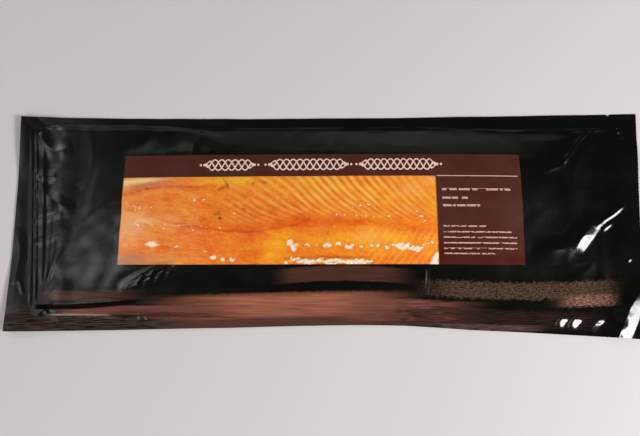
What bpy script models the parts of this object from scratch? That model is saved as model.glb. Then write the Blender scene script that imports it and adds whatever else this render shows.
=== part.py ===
"""Vacuum pack of smoked salmon: a printed pouch drawn down over a side of fish, with a clear window.

The pack lies on its back web. +X runs from the fish's tail to its head end, +Y away from the
front of the pack, +Z up, and the origin is under the middle of the pack's box, on the surface
that it lies on. All sizes are in metres.
"""

import math

import bmesh
import bpy

# The pouch's cut outline, lying flat.
POUCH_LENGTH = 0.6155
POUCH_WIDTH = 0.2190
TAIL_WIDTH = 0.2093
TAIL_CORNER_RISE = 0.0066
TAIL_SKEW = 0.0068
HEAD_SKEW = 0.0026
TAIL_BOW = 0.0013
FAR_DRAWN_IN = 0.0045
NEAR_DRAWN_IN = 0.0089
NEAR_DRAW_LEAN = 1.15

# The seals round it.
SEALED_THICKNESS = 0.0006
FAR_SEAL = 0.0100
NEAR_SEAL = 0.0110
HEAD_SEAL = 0.0400
SEAL_LINE_NEAR_X = -0.2805
SEAL_LINE_FAR_X = -0.2887
SEAL_RIB_PITCH = 0.0046
SEAL_RIB_HALF_WIDTH = 0.0015
SEAL_RIB_HEIGHT = 0.0009
NOTCH_FROM_CENTRE = 0.2805
NOTCH_DEPTH = 0.0025

# How far the free edges lift off the surface under them.
CORNER_LIFT = 0.0040
CORNER_REACH = 0.075
EDGE_WAVE_LIFT = 0.0010
EDGE_WAVES = 5

# The stiff card under the fish, which shows as a low plateau.
CARD_TAIL_X = -0.2650
CARD_HEAD_X = 0.2600
CARD_NEAR_Y = -0.0760
CARD_FAR_Y = 0.0840
CARD_RISE = 0.0020
CARD_RAMP = 0.0055

# The side of fish under the film.
FISH_TAIL_X = -0.2600
FISH_HEAD_X = 0.2540
FISH_THICKNESS = 0.0180
FISH_TAPER = 2.2
FISH_FULLNESS = 0.6
FISH_HEAD_ROUNDING = 0.034
TAIL_END_SLANT = 0.26
TAIL_SLANT_REACH = 0.100
TAIL_CENTRE_Y = -0.0250
BODY_CENTRE_Y = 0.0040
TAIL_HALF_WIDTH = 0.0360
BODY_HALF_WIDTH = 0.0760
WIDENING_SHARE = 0.22
BELLY_THINNING = 0.42
BACK_SHOULDER = (0.55, 1.10)
BELLY_SHOULDER = (0.62, 1.04)

# Folds pressed into the film: start, end, height and half width of each.
FOLDS = (
    ((0.230, -0.036), (0.297, 0.024), 0.0040, 0.0100),
    ((0.205, 0.046), (0.262, 0.094), 0.0022, 0.0090),
    ((0.228, -0.070), (0.300, -0.104), 0.0028, 0.0110),
    ((-0.286, -0.088), (-0.165, -0.068), 0.0022, 0.0100),
    ((-0.278, 0.096), (-0.222, 0.052), 0.0020, 0.0120),
    ((-0.284, 0.020), (-0.236, -0.008), 0.0012, 0.0100),
)

# The clear window in the print, and what lies in it.
WINDOW_TAIL_X = -0.1988
WINDOW_HEAD_X = 0.1071
WINDOW_NEAR_Y = -0.0415
WINDOW_FAR_Y = 0.0437
WINDOW_FILM = 0.0005
CARD_TOP = 0.0018
GAP = 0.0003

# How finely the surfaces are divided.
COLUMN_STEP = 0.0080
ROW_STEP = 0.0082
WINDOW_STEP = 0.0090


def mix(a, b, share):
    return a + (b - a) * share


def ease(share):
    """Runs from 0 to 1 with level ends."""
    share = min(max(share, 0.0), 1.0)
    return share * share * (3.0 - 2.0 * share)


def spread(first, last, step):
    """Evenly spaced values from first to last, no further apart than step."""
    count = math.ceil((last - first) / step)
    return [mix(first, last, i / count) for i in range(count + 1)]


def along(x):
    """Share of the pouch's length at x."""
    return min(max(x / POUCH_LENGTH + 0.5, 0.0), 1.0)


def far_edge(x):
    tail_y = -POUCH_WIDTH / 2 + TAIL_CORNER_RISE + TAIL_WIDTH
    straight = mix(tail_y, POUCH_WIDTH / 2, along(x))
    return straight - FAR_DRAWN_IN * math.sin(math.pi * along(x))


def near_edge(x):
    tail_y = -POUCH_WIDTH / 2 + TAIL_CORNER_RISE
    straight = mix(tail_y, -POUCH_WIDTH / 2, along(x))
    return straight + NEAR_DRAWN_IN * math.sin(math.pi * along(x) ** NEAR_DRAW_LEAN)


def card_rise(x, y):
    inside = min(x - CARD_TAIL_X, CARD_HEAD_X - x, y - CARD_NEAR_Y, CARD_FAR_Y - y)
    return CARD_RISE * ease(inside / CARD_RAMP + 0.5)


def fish_rise(x, y):
    """Thickness of the fish under the film: round at the head end, cut at a slant at the tail."""
    centre_share = (x - FISH_TAIL_X) / (FISH_HEAD_X - FISH_TAIL_X)
    widening = ease(centre_share / WIDENING_SHARE)
    centre = mix(TAIL_CENTRE_Y, BODY_CENTRE_Y, widening)
    slant = TAIL_END_SLANT * (1.0 - ease((x - FISH_TAIL_X) / TAIL_SLANT_REACH))
    share = (x - FISH_TAIL_X - slant * (y - centre)) / (FISH_HEAD_X - FISH_TAIL_X)
    if not 0.0 < share < 1.0:
        return 0.0
    half_width = mix(TAIL_HALF_WIDTH, BODY_HALF_WIDTH, widening ** 0.6)
    to_head = (FISH_HEAD_X - x) / FISH_HEAD_ROUNDING
    head_round = math.sqrt(1.0 - (1.0 - min(max(to_head, 0.0), 1.0)) ** 2)
    half_width *= mix(0.72, 1.0, head_round)
    thickness = FISH_THICKNESS * (1.0 - (1.0 - share) ** FISH_TAPER) ** FISH_FULLNESS
    thickness *= head_round
    across = (y - centre) / half_width
    if across >= 0.0:
        start, end = BACK_SHOULDER
        return thickness * (1.0 - ease((across - start) / (end - start)))
    start, end = BELLY_SHOULDER
    thinning = 1.0 - BELLY_THINNING * ease(-across)
    return thickness * thinning * (1.0 - ease((-across - start) / (end - start)))


def fold_rise(x, y):
    """Height of the pressed folds: each a rounded ridge that fades towards both ends."""
    rise = 0.0
    for (start_x, start_y), (end_x, end_y), height, half_width in FOLDS:
        run_x = end_x - start_x
        run_y = end_y - start_y
        length = math.hypot(run_x, run_y)
        share = ((x - start_x) * run_x + (y - start_y) * run_y) / length**2
        aside = abs((x - start_x) * run_y - (y - start_y) * run_x) / length
        if 0.0 < share < 1.0 and aside < half_width:
            crest = 0.5 + 0.5 * math.cos(math.pi * aside / half_width)
            rise += height * crest * math.sin(math.pi * share)
    return rise


def seal_rib_rise(x, y):
    """The two ribs that the vacuum machine's sealing bar pressed across the tail end."""
    share = (y - near_edge(x)) / (far_edge(x) - near_edge(x))
    centre = mix(SEAL_LINE_NEAR_X, SEAL_LINE_FAR_X, share)
    rise = 0.0
    for side in (-0.5, 0.5):
        aside = abs(x - centre - side * SEAL_RIB_PITCH)
        rise += SEAL_RIB_HEIGHT * max(0.0, 1.0 - aside / SEAL_RIB_HALF_WIDTH)
    return rise


def underside(x, y):
    """Height of the back web: flat under the card, lifting a little towards the free edges."""
    beyond_card = max(CARD_TAIL_X - x, x - CARD_HEAD_X, CARD_NEAR_Y - y, y - CARD_FAR_Y, 0.0)
    wave = 0.5 - 0.5 * math.cos(2.0 * math.pi * EDGE_WAVES * along(x))
    lift = EDGE_WAVE_LIFT * wave * ease((beyond_card - 0.012) / 0.020)
    for corner_x in (-POUCH_LENGTH / 2, POUCH_LENGTH / 2):
        for corner_y in (near_edge(corner_x), far_edge(corner_x)):
            away = math.hypot(x - corner_x, y - corner_y)
            nearness = ease(1.0 - away / CORNER_REACH)
            lift += CORNER_LIFT * nearness * ease(beyond_card / 0.030)
    return lift


def topside(x, y):
    """Height of the outer face of the front web."""
    contents = card_rise(x, y) + fish_rise(x, y)
    pressed = fold_rise(x, y) + seal_rib_rise(x, y)
    return underside(x, y) + SEALED_THICKNESS + contents + pressed


def pouch_columns():
    """Lines across the pouch, each by its x at the near edge and at the far edge."""
    half = POUCH_LENGTH / 2
    columns = [(-half, -half + TAIL_SKEW), (-0.2960, -0.2965)]
    for side in (-0.5, 0.5):
        for foot in (-1.0, 0.0, 1.0):
            aside = side * SEAL_RIB_PITCH + foot * SEAL_RIB_HALF_WIDTH
            columns.append((SEAL_LINE_NEAR_X + aside, SEAL_LINE_FAR_X + aside))
    before_card = CARD_TAIL_X - CARD_RAMP
    columns.append((before_card, before_card))
    head = spread(CARD_TAIL_X + CARD_RAMP / 2, half - HEAD_SEAL, COLUMN_STEP)
    columns += [(x, x) for x in head]
    columns += [(half - HEAD_SEAL / 2, half - HEAD_SEAL / 2), (half - HEAD_SKEW, half)]
    return columns


def pouch_rows():
    """Shares of the pouch's width at which its lines run lengthwise."""
    near_seal = NEAR_SEAL / TAIL_WIDTH
    far_seal = 1.0 - FAR_SEAL / TAIL_WIDTH
    return [0.0] + spread(near_seal, far_seal, ROW_STEP / TAIL_WIDTH) + [1.0]


def closed_grid(name, points, top, bottom):
    """A closed body between two surfaces over one grid of places, with walls round its rim.

    Every cell is split on the same diagonal, so that two bodies over one grid fit face to face.
    """
    shape = bmesh.new()
    upper = [[shape.verts.new((x, y, top(x, y))) for x, y in line] for line in points]
    lower = [[shape.verts.new((x, y, bottom(x, y))) for x, y in line] for line in points]
    last_line = len(points) - 1
    last_place = len(points[0]) - 1
    for i in range(last_line):
        for j in range(last_place):
            first, across, opposite, back = (i, j), (i + 1, j), (i + 1, j + 1), (i, j + 1)
            for corners in ((first, across, opposite), (first, opposite, back)):
                shape.faces.new([upper[a][b] for a, b in corners])
                shape.faces.new([lower[a][b] for a, b in reversed(corners)])
    rim = [(i, 0) for i in range(last_line)]
    rim += [(last_line, j) for j in range(last_place)]
    rim += [(i, last_place) for i in range(last_line, 0, -1)]
    rim += [(0, j) for j in range(last_place, 0, -1)]
    for (a, b), (c, d) in zip(rim, rim[1:] + rim[:1]):
        shape.faces.new((upper[a][b], lower[a][b], lower[c][d], upper[c][d]))
    mesh = bpy.data.meshes.new(name)
    shape.to_mesh(mesh)
    shape.free()
    return bpy.data.objects.new(name, mesh)


def finish(name, colour, roughness, alpha=1.0):
    material = bpy.data.materials.new(name)
    material.use_nodes = True
    shader = material.node_tree.nodes["Principled BSDF"]
    shader.inputs["Base Color"].default_value = (*colour, 1.0)
    shader.inputs["Roughness"].default_value = roughness
    shader.inputs["Metallic"].default_value = 0.0
    shader.inputs["Alpha"].default_value = alpha
    return material


def cutter(name, collection, size, place, turn=0.0):
    """A box that a Boolean takes away, turned about Z."""
    shape = bmesh.new()
    bmesh.ops.create_cube(shape, size=1.0)
    bmesh.ops.scale(shape, vec=size, verts=shape.verts)
    mesh = bpy.data.meshes.new(name)
    shape.to_mesh(mesh)
    shape.free()
    box = bpy.data.objects.new(name, mesh)
    box.location = place
    box.rotation_euler = (0.0, 0.0, turn)
    box.hide_render = True
    box.display_type = "WIRE"
    collection.objects.link(box)
    return box


def cut(target, tool):
    boolean = target.modifiers.new(tool.name, "BOOLEAN")
    boolean.operation = "DIFFERENCE"
    boolean.solver = "EXACT"
    boolean.object = tool


def make_pouch(parts, cutters):
    """The printed pouch, solid out to its film, with a pocket where the window is."""
    lines = []
    for near_x, far_x in pouch_columns():
        line = []
        for share in pouch_rows():
            x = mix(near_x, far_x, share)
            if near_x == -POUCH_LENGTH / 2:
                x += TAIL_BOW * math.sin(math.pi * share)
            line.append((x, mix(near_edge(x), far_edge(x), share)))
        lines.append(line)
    pouch = closed_grid("pouch", lines, topside, underside)
    pouch.data.materials.append(finish("black_printed_film", (0.010, 0.010, 0.009), 0.22))
    parts.objects.link(pouch)

    tall = 0.080
    window_size = (WINDOW_HEAD_X - WINDOW_TAIL_X, WINDOW_FAR_Y - WINDOW_NEAR_Y, tall)
    window_x = (WINDOW_HEAD_X + WINDOW_TAIL_X) / 2
    window_y = (WINDOW_FAR_Y + WINDOW_NEAR_Y) / 2
    place = (window_x, window_y, CARD_TOP + tall / 2)
    cut(pouch, cutter("window_pocket", cutters, window_size, place))
    side = NOTCH_DEPTH * math.sqrt(2.0)
    for name, edge in (("near_notch", near_edge), ("far_notch", far_edge)):
        place = (NOTCH_FROM_CENTRE, edge(NOTCH_FROM_CENTRE), 0.0)
        cut(pouch, cutter(name, cutters, (side, side, tall), place, math.radians(45.0)))


def window_grid(margin):
    """Places over the window, kept this far inside its edges."""
    across = spread(WINDOW_NEAR_Y + margin, WINDOW_FAR_Y - margin, WINDOW_STEP)
    lengthwise = spread(WINDOW_TAIL_X + margin, WINDOW_HEAD_X - margin, WINDOW_STEP)
    return [[(x, y) for y in across] for x in lengthwise]


def make_salmon(parts):
    """The part of the fish that shows in the window, lying on the card."""

    def flesh(x, y):
        return topside(x, y) - WINDOW_FILM - GAP

    def card(x, y):
        return CARD_TOP + GAP

    salmon = closed_grid("salmon", window_grid(GAP), flesh, card)
    salmon.data.materials.append(finish("smoked_salmon", (0.76, 0.26, 0.045), 0.35))
    parts.objects.link(salmon)


def make_window_film(parts):
    """The unprinted, clear part of the front web, drawn down on the fish."""

    def inner_face(x, y):
        return topside(x, y) - WINDOW_FILM

    film = closed_grid("window_film", window_grid(GAP), topside, inner_face)
    film.data.materials.append(finish("clear_film", (0.95, 0.95, 0.93), 0.08, alpha=0.25))
    parts.objects.link(film)


def main():
    for old in list(bpy.data.objects):
        bpy.data.objects.remove(old, do_unlink=True)
    parts = bpy.data.collections.new("salmon_pack")
    cutters = bpy.data.collections.new("cutters")
    cutters.hide_render = True
    for collection in (parts, cutters):
        bpy.context.scene.collection.children.link(collection)
    make_pouch(parts, cutters)
    make_salmon(parts)
    make_window_film(parts)


main()
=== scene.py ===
"""Looks of a vacuum pack of smoked salmon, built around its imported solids.

The pack lies on its back web, the fish's tail towards -X and the pack's far long edge towards
+Y. Lengths are in metres, except that names ending in _MM, and points in lists, are in mm.
"""

import math
from functools import partial

import bpy
import numpy as np
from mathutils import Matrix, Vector


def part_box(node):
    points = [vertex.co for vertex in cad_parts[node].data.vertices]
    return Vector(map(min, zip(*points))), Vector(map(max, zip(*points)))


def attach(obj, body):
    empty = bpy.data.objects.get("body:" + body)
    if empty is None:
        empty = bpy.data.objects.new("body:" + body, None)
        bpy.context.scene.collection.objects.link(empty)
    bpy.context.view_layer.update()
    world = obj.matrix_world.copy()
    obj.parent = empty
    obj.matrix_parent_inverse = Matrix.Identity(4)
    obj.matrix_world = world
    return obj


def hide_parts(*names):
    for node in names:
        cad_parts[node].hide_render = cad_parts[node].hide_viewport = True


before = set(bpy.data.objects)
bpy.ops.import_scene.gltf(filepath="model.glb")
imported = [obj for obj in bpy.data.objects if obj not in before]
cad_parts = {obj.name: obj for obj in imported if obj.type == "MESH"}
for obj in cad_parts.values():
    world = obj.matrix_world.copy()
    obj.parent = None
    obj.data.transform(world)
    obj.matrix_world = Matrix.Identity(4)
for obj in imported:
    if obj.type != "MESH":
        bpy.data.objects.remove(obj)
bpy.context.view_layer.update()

MM = 0.001

# ---- camera

CAMERA_LENS_MM = 50.0
CAMERA_ELEVATION = math.radians(81.0)
CAMERA_DISTANCE = 0.868
CAMERA_TARGET = (-0.0057, 0.0052, 0.0)


def make_camera():
    """A camera nearly straight above the pack, a little towards its near side."""
    data = bpy.data.cameras.new("camera")
    data.lens = CAMERA_LENS_MM
    camera = bpy.data.objects.new("camera", data)
    x, y, z = CAMERA_TARGET
    away = CAMERA_DISTANCE * math.cos(CAMERA_ELEVATION)
    height = CAMERA_DISTANCE * math.sin(CAMERA_ELEVATION)
    camera.location = (x, y - away, z + height)
    camera.rotation_euler = (math.pi / 2 - CAMERA_ELEVATION, 0.0, 0.0)
    bpy.context.scene.collection.objects.link(camera)
    bpy.context.scene.camera = camera


make_camera()

# ---- sizes

pouch_low, pouch_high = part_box("pouch")
film_low, film_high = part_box("window_film")
HALF_LENGTH = (pouch_high[0] - pouch_low[0]) / 2
HALF_WIDTH = pouch_high[1]
WINDOW_GAP = 0.0003
WINDOW_X = (film_low[0] - WINDOW_GAP, film_high[0] + WINDOW_GAP)
WINDOW_Y = (film_low[1] - WINDOW_GAP, film_high[1] + WINDOW_GAP)

# The pouch's cut outline and its seals. They follow the solids, apart from how far the vacuum
# drew the long edges in.
TAIL_WIDTH = 0.2093
TAIL_CORNER_RISE = 0.0066
TAIL_SKEW = 0.0068
TAIL_SKEW_FROM_X = -0.262
TAIL_BOW = 0.0013
HEAD_SKEW = 0.0026
HEAD_SKEW_FROM_X = 0.290
FAR_DRAWN_IN = 0.0032
FAR_DRAW_LEAN = 0.85
NEAR_DRAWN_IN = 0.0089
NEAR_DRAW_LEAN = 1.15
NEAR_SET_OUT_MM = (
    (-308, 2.0), (-200, 3.1), (-90, 3.4), (-30, 2.3), (35, 1.1), (75, 1.0), (140, 3.2),
)
FAR_SEAL_WIDTHS_MM = ((-180, 8.6), (-120, 10.0), (90, 10.0), (180, 15.5))
NEAR_SEAL = 0.0132
NOTCH_X = 0.2805
NOTCH_DEPTH = 0.0030
NOTCH_HALF_WIDTH = 0.0021
SEAL_LINE_NEAR_X = -0.2805
SEAL_LINE_FAR_X = -0.2887
SEAL_RIB_PITCH = 0.0046
SEAL_RIB_HALF_WIDTH = 0.0017
SEAL_RIB_HEIGHT = 0.0007
SEAL_RIB_NEAR_HEIGHT = 0.0011
FAR_BEAD_HEIGHT = 0.00110
FAR_BEAD_REACH = 0.0023
NEAR_BEAD_HEIGHT = 0.00035
NEAR_BEAD_REACH = 0.0020

# How the back web lifts off the floor: over how far past the card, in waves and at the corners.
FREE_EDGE = (0.012, 0.032)
CORNER_EDGE = (0.0, 0.030)
EDGE_WAVES = 5
EDGE_WAVE_LIFT = 0.0010
FLANGE_LIFT = 0.00045
CORNER_LIFT = 0.0040
CORNER_REACH = 0.075
TAIL_BAND_SHARES = (0.6, 1.8)
NOTCH_STIFFNESS = 0.85

# The card and the fish under the film.
CARD_X = (-0.2650, 0.2600)
CARD_Y = (-0.0760, 0.0840)
CARD_RISE = 0.0020
CARD_TAIL_RAMP = 0.0180
CARD_TUCK_RAMP = 0.0018
CARD_NEAR_RAMP = 0.0100
CARD_FAR_RAMP = 0.0340
CARD_FAR_TAIL_RAMP = 0.0040
CARD_HEAD_RAMP = 0.0440
CARD_TUCKED_IN = 0.0030
CARD_SPREAD_TO_TAIL = 0.0065
CARD_SPREAD_AT_CORNER = 0.0095
CARD_SPREAD_CURVE = 1.3
CARD_TAIL_SLANT = 0.0110
TUCK_FOOT = 0.0018
TUCK_FOOT_REACH = 0.0110
TUCK_FOOT_END = 0.010
TUCK_STEP = 0.0008
# Where each of these comes in, from none of it to all of it.
TUCK_X = (-0.150, -0.210)
SPREAD_X = (-0.155, -0.260)
CORNER_X = (-0.260, -0.276)
SLANT_Y = (-0.052, -0.082)
FAR_TAIL_X = (-0.060, -0.140)
FISH_X = (-0.2520, 0.2560)
FISH_THICKNESS = 0.0180
FISH_TAPER = 2.2
FISH_FULLNESS = 0.8
TAIL_SHARE = 0.24
TAIL_FLARE = 0.020
TAIL_END_SLANT = 0.267
TAIL_SLANT_REACH = 0.100
TAIL_CENTRE_Y = -0.0020
BODY_CENTRE_Y = 0.0040
TAIL_HALF_WIDTH = 0.0620
BODY_HALF_WIDTH = 0.0760
BODY_CREST_Y = 0.018
HEAD_END_X = 0.272
HEAD_FALL = 0.110
HEAD_THINNING = 0.26
TO_BODY_X = (-0.205, -0.130)
TO_HEAD_X = (0.080, 0.230)
THINNING_X = (0.060, 0.220)

# How the fish's section changes from its tail to its body, or from its body to its head for the
# last three. Places across it are in half widths from its middle.
ROOF_FALL = (0.42, 0.16)
ROOF_CURVE = 1.2
BACK_START = (0.70, 0.64)
BACK_END = (1.35, 1.165)
BACK_CURVE = 1.6
BELLY_START = (0.62, 0.54)
BELLY_END = 1.04
FLAP_THINNING = (0.36, 0.74)
FLAP_START = (0.0, 0.55)
FLAP_REACH = (0.91, 1.55)

LABEL_X_MM = (-198.8, 190.2)
LABEL_Y_MM = (-41.5, 65.6)

FILM_THICKNESS = 0.00025
CLEAR_THICKNESS = 0.00012
CLEAR_INSET = 0.00002
WEB_THICKNESS = 0.00025
SLACK = 0.00020

# Mesh cells: the front web is fine enough for its creases, the flat back web is coarse.
FILM_CELL = 0.00118
BACK_STEP = 4
FLESH_CELL = 0.00072
FLESH_STEP = 6

# ---- shape helpers

NOISE_TABLE = 256
NOISE_HEIGHT = 1.5
FOLD_SWING = 0.35
CREASE_MARGIN_MM = 4.0


def mix(a, b, share):
    """The value that lies a share of the way from a to b."""
    return a + (b - a) * share


def share_of(value, start, end):
    """How far a value is on its way from one place to another, between 0 and 1."""
    return np.clip((value - start) / (end - start), 0.0, 1.0)


def ease(value, start=0.0, end=1.0):
    """The same, with level ends."""
    share = share_of(value, start, end)
    return share * share * (3.0 - 2.0 * share)


def within(value, low, high, fade):
    """1 between two limits, falling to 0 over a distance outside them."""
    return ease(value, low - fade, low) * ease(value, high + fade, high)


def ridge(aside, reach):
    """1 at 0, falling evenly to 0 at a reach on either side."""
    return np.clip(1.0 - np.abs(aside) / reach, 0.0, 1.0)


def pulse(turns):
    """A wave between 0 and 1, at 1 on every whole turn."""
    return 0.5 + 0.5 * np.cos(2.0 * math.pi * turns)


def along_table(x, places_mm):
    """The value at x in a table of places and values in mm."""
    places = np.array(places_mm, float) * MM
    return np.interp(x, places[:, 0], places[:, 1])


def noise(x, y, seed):
    """Smooth gradient noise between about -1 and 1, with one cell to a unit."""
    size = (NOISE_TABLE, NOISE_TABLE)
    turns = np.random.default_rng(seed).uniform(0.0, 2.0 * math.pi, size)
    cell_x = np.floor(x).astype(int)
    cell_y = np.floor(y).astype(int)
    part_x = x - cell_x
    part_y = y - cell_y

    def pull(step_x, step_y):
        turn = turns[(cell_x + step_x) % NOISE_TABLE, (cell_y + step_y) % NOISE_TABLE]
        return np.cos(turn) * (part_x - step_x) + np.sin(turn) * (part_y - step_y)

    near = mix(pull(0, 0), pull(1, 0), ease(part_x))
    far = mix(pull(0, 1), pull(1, 1), ease(part_x))
    return NOISE_HEIGHT * mix(near, far, ease(part_y))


def cells(x, y, length, width, turn_deg):
    """Places counted in cells of a length and a width, turned in plan."""
    turn = math.radians(turn_deg)
    u = x * math.cos(turn) + y * math.sin(turn)
    v = y * math.cos(turn) - x * math.sin(turn)
    return u / length, v / width


def grain(x, y, long_mm, wide_mm, seed, turn_deg=0.0):
    """Noise whose cells have a length and a width, turned in plan."""
    return noise(*cells(x, y, long_mm * MM, wide_mm * MM, turn_deg), seed)


def folds(x, y, long_mm, wide_mm, seed, turn_deg=0.0, sharpness=1.5):
    """Creases between 0 and 1 that meet in sharp crests with smooth valleys between them."""
    swing = FOLD_SWING * grain(x, y, long_mm * 0.8, long_mm * 0.8, seed + 100, turn_deg)
    u, v = cells(x, y, long_mm * MM, wide_mm * MM, turn_deg)
    return ridge(noise(u, v + swing, seed), 1.0) ** sharpness


def patches(x, y, ovals):
    """A sum of soft ovals: the x and y of their centres, half sizes, turns and strengths."""
    total = 0.0
    for centre_x, centre_y, long_mm, wide_mm, turn_deg, strength in ovals:
        u, v = cells(x / MM - centre_x, y / MM - centre_y, long_mm, wide_mm, turn_deg)
        total += strength * np.exp(-(u * u + v * v))
    return total


def smooth_line(points, per_span=6):
    """A curve through a few points, sampled closely enough to measure distances from."""
    points = np.array(points, float)
    padded = np.vstack((2 * points[0] - points[1], points, 2 * points[-1] - points[-2]))
    line = []
    for i in range(len(points) - 1):
        p0, p1, p2, p3 = padded[i : i + 4]
        for t in np.arange(per_span) / per_span:
            bend = (2 * p0 - 5 * p1 + 4 * p2 - p3) * t**2 + (3 * p1 - p0 - 3 * p2 + p3) * t**3
            line.append(0.5 * (2 * p1 + (p2 - p0) * t + bend))
    line.append(points[-1])
    return np.array(line)


def beside_line(x, y, points):
    """Signed distance to a curve, positive on its left, and how far along it the nearest place is."""
    line = smooth_line(points) * MM
    steps = np.hypot(*np.diff(line, axis=0).T)
    ends = np.concatenate(([0.0], np.cumsum(steps)))
    best = np.full(x.shape, np.inf)
    side = np.zeros(x.shape)
    share = np.zeros(x.shape)
    for i, step in enumerate(steps):
        (ax, ay), (bx, by) = line[i], line[i + 1]
        t = np.clip(((x - ax) * (bx - ax) + (y - ay) * (by - ay)) / step**2, 0.0, 1.0)
        off_x = x - ax - t * (bx - ax)
        off_y = y - ay - t * (by - ay)
        away = np.hypot(off_x, off_y)
        nearer = away < best
        best = np.where(nearer, away, best)
        side = np.where(nearer, np.sign((bx - ax) * off_y - (by - ay) * off_x), side)
        share = np.where(nearer, (ends[i] + t * step) / ends[-1], share)
    return best * side, np.clip(share, 0.0, 1.0)


def crease(x, y, points, height_mm, left_mm, right_mm, sharpness=1.6, taper=0.6):
    """Height of a fold along a curve, whose flanks reach so far on its left and right."""
    margin = max(left_mm, right_mm) + CREASE_MARGIN_MM
    low = (np.min(points, axis=0) - margin) * MM
    high = (np.max(points, axis=0) + margin) * MM
    close = (x > low[0]) & (x < high[0]) & (y > low[1]) & (y < high[1])
    rise = np.zeros(x.shape)
    if not close.any():
        return rise
    aside, share = beside_line(x[close], y[close], points)
    flank = ridge(aside, np.where(aside > 0.0, left_mm, right_mm) * MM) ** sharpness
    rise[close] = height_mm * MM * flank * np.sin(math.pi * share) ** taper
    return rise


# ---- outline and forms


def along(x):
    """Share of the pouch's length at x, from its tail end."""
    return share_of(x, -HALF_LENGTH, HALF_LENGTH)


def notch(x):
    """Depth of the tear notches at x."""
    return NOTCH_DEPTH * ridge(x - NOTCH_X, NOTCH_HALF_WIDTH)


def far_edge(x):
    """y of the pouch's far edge, which the vacuum drew in."""
    tail_y = -HALF_WIDTH + TAIL_CORNER_RISE + TAIL_WIDTH
    straight = mix(tail_y, HALF_WIDTH, along(x))
    return straight - FAR_DRAWN_IN * np.sin(math.pi * along(x) ** FAR_DRAW_LEAN)


def near_edge(x):
    """y of its near edge, drawn in further and less evenly."""
    straight = mix(-HALF_WIDTH + TAIL_CORNER_RISE, -HALF_WIDTH, along(x))
    drawn_in = NEAR_DRAWN_IN * np.sin(math.pi * along(x) ** NEAR_DRAW_LEAN)
    return straight + drawn_in - along_table(x, NEAR_SET_OUT_MM)


def far_seal(x):
    """Width of the far seal, which widens towards the head end."""
    return along_table(x, FAR_SEAL_WIDTHS_MM)


def card_rise(x, y):
    """The film is tucked in under the card at its near tail corner, and spans its other sides."""
    tucked = ease(x, *TUCK_X)
    spread_out = CARD_SPREAD_TO_TAIL * share_of(x, *SPREAD_X)
    spread_out += CARD_SPREAD_AT_CORNER * share_of(x, *CORNER_X) ** CARD_SPREAD_CURVE
    near_side = CARD_Y[0] + CARD_TUCKED_IN * tucked - spread_out
    tail_side = CARD_X[0] - CARD_TAIL_SLANT * ease(y, *SLANT_Y)
    near_ramp = mix(CARD_NEAR_RAMP, CARD_TUCK_RAMP, tucked)
    crisp = np.minimum((x - tail_side) / CARD_TAIL_RAMP, (y - near_side) / near_ramp)
    far_ramp = mix(CARD_FAR_RAMP, CARD_FAR_TAIL_RAMP, ease(x, *FAR_TAIL_X))
    far_side = far_edge(x) - far_seal(x) - far_ramp / 2
    soft = np.minimum((CARD_X[1] - x) / CARD_HEAD_RAMP, (far_side - y) / far_ramp)
    foot = TUCK_FOOT * tucked * ease(y, near_side - TUCK_FOOT_REACH, near_side)
    foot *= ease(x, CARD_X[0], CARD_X[0] + TUCK_FOOT_END)
    step = CARD_RISE + TUCK_STEP * tucked - foot
    return (foot + step * ease(crisp + 0.5)) * ease(soft + 0.5)


# The side's lateral line, along which its tail is crested.
LATERAL_LINE = (
    (-250, 13), (-230, 11), (-202, 14), (-154, -1), (-120, -6), (-68, -10),
    (-25, -2), (33, -2), (90, -6), (160, -4), (250, 0),
)


def lateral_y(x):
    """y of the lateral line at x."""
    return along_table(x, LATERAL_LINE)


def fish_rise(x, y):
    """Thickness of the fish under the film, crested along its middle near the tail."""
    length = FISH_X[1] - FISH_X[0]
    widening = ease(x, FISH_X[0], FISH_X[0] + TAIL_SHARE * length)
    centre = mix(TAIL_CENTRE_Y, BODY_CENTRE_Y, widening)
    half_width = mix(TAIL_HALF_WIDTH, BODY_HALF_WIDTH, widening)
    slant = TAIL_END_SLANT * ease(x, FISH_X[0] + TAIL_SLANT_REACH, FISH_X[0])
    share = share_of(x - slant * (y - centre), *FISH_X)
    ends = ease(x, HEAD_END_X, HEAD_END_X - HEAD_FALL) * ease(share * length / TAIL_FLARE)
    thickness = FISH_THICKNESS * (1.0 - (1.0 - share) ** FISH_TAPER) ** FISH_FULLNESS
    thickness *= 1.0 - HEAD_THINNING * ease(x, *THINNING_X)
    to_body = ease(x, *TO_BODY_X)
    crest = mix(lateral_y(x), BODY_CREST_Y, to_body)
    roof = 1.0 - mix(*ROOF_FALL, to_body) * (np.abs(y - crest) / half_width) ** ROOF_CURVE
    across = (y - centre) / half_width
    taut = share_of(across, mix(*BACK_START, to_body), mix(*BACK_END, to_body))
    back_fall = mix(ease(taut), taut**BACK_CURVE, to_body)
    belly_fall = ease(-across, mix(*BELLY_START, to_body), BELLY_END)
    to_head = ease(x, *TO_HEAD_X)
    flap = mix(FLAP_THINNING[0] * to_body, FLAP_THINNING[1], to_head)
    flap_start = mix(*FLAP_START, to_head)
    belly_thin = 1.0 - flap * ease(across, flap_start, flap_start - mix(*FLAP_REACH, to_head))
    return thickness * ends * roof * belly_thin * (1.0 - back_fall) * (1.0 - belly_fall)


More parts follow.
